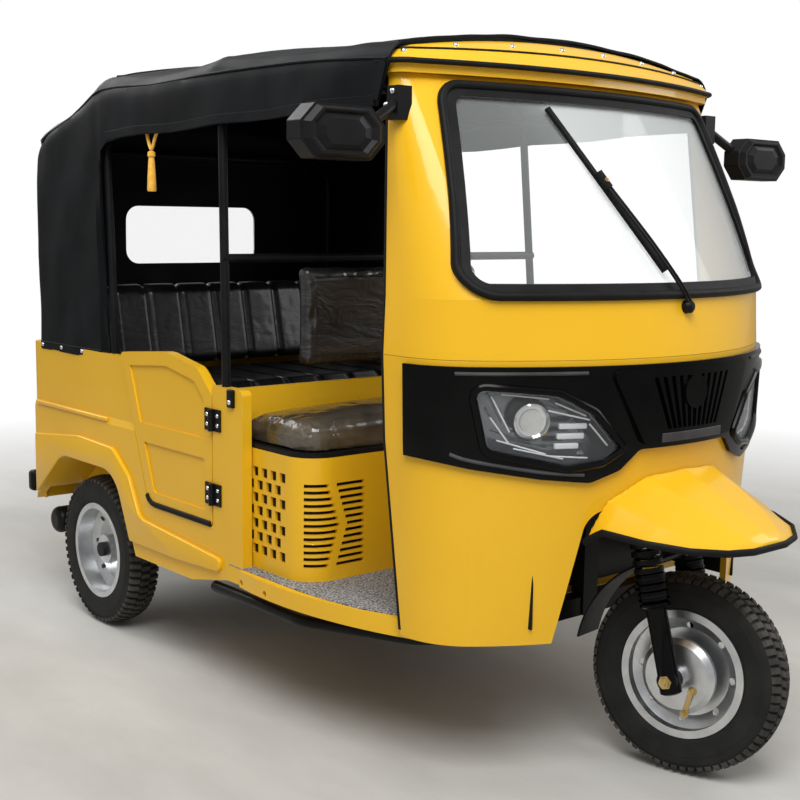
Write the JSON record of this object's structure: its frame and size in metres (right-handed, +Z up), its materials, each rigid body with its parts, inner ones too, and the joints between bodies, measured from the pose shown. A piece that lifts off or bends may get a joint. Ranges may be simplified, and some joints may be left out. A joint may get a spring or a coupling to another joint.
{
  "type": "passenger motor tricycle",
  "caption": "Three-wheeled passenger motor tricycle with a rounded steel cab, beak mudguard, low rear doors, padded bench and a canvas hood on tube bows.",
  "frame": {"origin": "on the road below the middle of the overall length and width", "axes": "+X to the vehicle's left, +Y rearward, +Z up; the vehicle faces -Y"},
  "size_m": [1.84, 2.7499, 1.8758],
  "materials": {
    "yellow_paint": "gloss",
    "black_paint": "satin",
    "black_plastic": "matte",
    "gloss_black": "gloss",
    "screen_glass": "clear",
    "lamp_lens": "clear",
    "lamp_bowl": "bright",
    "rubber": "matte",
    "tyre": "matte",
    "silver_wheel": "satin silver",
    "steel": "bright",
    "cast_metal": "rough",
    "canvas": "coated canvas",
    "dark_vinyl": "vinyl under clear film",
    "window_film": "clear film",
    "red_lens": "gloss"
  },
  "bodies": {
    "chassis": {"cab_lower": "yellow_paint", "cab_upper": "yellow_paint", "screen_gasket": "rubber", "windscreen": "screen_glass", "nose_fascia": "gloss_black", "grille_panel": "gloss_black", "headlamp_bowls": "lamp_bowl", "headlamp_lenses": "lamp_lens", "front_mudguard": "yellow_paint", "roof_cap": "yellow_paint", "floor_pan": "yellow_paint", "sill_tube": "black_paint", "chassis_frame": "black_paint", "engine_block": "cast_metal", "dash_panel": "black_plastic", "leg_shield": "yellow_paint", "partition": "yellow_paint", "seat_box": "yellow_paint", "tub_side_left": "yellow_paint", "tub_side_right": "yellow_paint", "tub_rear": "yellow_paint", "tail_lamps": "red_lens", "rear_floor": "black_paint", "bench_base": "black_paint", "bench_cushion": "dark_vinyl", "bench_back": "dark_vinyl", "hood_bows": "black_paint", "hood_rails": "black_paint", "driver_backrest": "dark_vinyl", "canopy": "canvas", "rear_window": "window_film", "door_hinges": "black_paint", "rear_axle": "cast_metal", "leaf_springs": "black_paint", "silencer": "black_paint", "rear_bumper": "black_plastic", "mirrors": "black_plastic", "wiper": "black_paint"},
    "steering": {"fork": "black_paint", "front_axle": "steel", "brake_plate": "silver_wheel", "inner_mudguard": "black_plastic", "handlebar": "black_paint"},
    "front_wheel": {"front_rim": "silver_wheel", "front_tyre": "tyre"},
    "rear_wheel_right": {"rear_rim_right": "silver_wheel", "rear_tyre_right": "tyre"},
    "rear_wheel_left": {"rear_rim_left": "silver_wheel", "rear_tyre_left": "tyre"},
    "door_right": {"door_right": "yellow_paint", "door_leaves_right": "black_paint"},
    "door_left": {"door_left": "yellow_paint", "door_leaves_left": "black_paint"},
    "seat_lid": {"seat_lid": "black_plastic", "driver_cushion": "dark_vinyl"}
  },
  "joints": [
    {"name": "steering_turn", "type": "hinge", "parent": "chassis", "child": "steering", "pos_m": [0, -1.085, 0.254], "axis": [0, 0.2756, 0.9613], "range_deg": [-56, 24]},
    {"name": "front_wheel_spin", "type": "hinge", "parent": "steering", "child": "front_wheel", "pos_m": [0.0098, -1.12068, 0.25362], "axis": [0.9613, 0.265, -0.076], "continuous": true},
    {"name": "rear_wheel_right_spin", "type": "hinge", "parent": "chassis", "child": "rear_wheel_right", "pos_m": [-0.565, 0.888, 0.254], "axis": [1, 0, 0], "continuous": true},
    {"name": "rear_wheel_left_spin", "type": "hinge", "parent": "chassis", "child": "rear_wheel_left", "pos_m": [0.565, 0.888, 0.254], "axis": [1, 0, 0], "continuous": true},
    {"name": "door_right_swing", "type": "hinge", "parent": "chassis", "child": "door_right", "pos_m": [-0.654, 0.09, 0.697], "axis": [0, 0, 1], "range_deg": [0, 85]},
    {"name": "door_left_swing", "type": "hinge", "parent": "chassis", "child": "door_left", "pos_m": [0.654, 0.09, 0.697], "axis": [0, 0, -1], "range_deg": [0, 85]},
    {"name": "seat_lid_lift", "type": "hinge", "parent": "chassis", "child": "seat_lid", "pos_m": [0, -0.313, 0.7423], "axis": [1, 0, 0], "range_deg": [0, 55]}
  ]
}
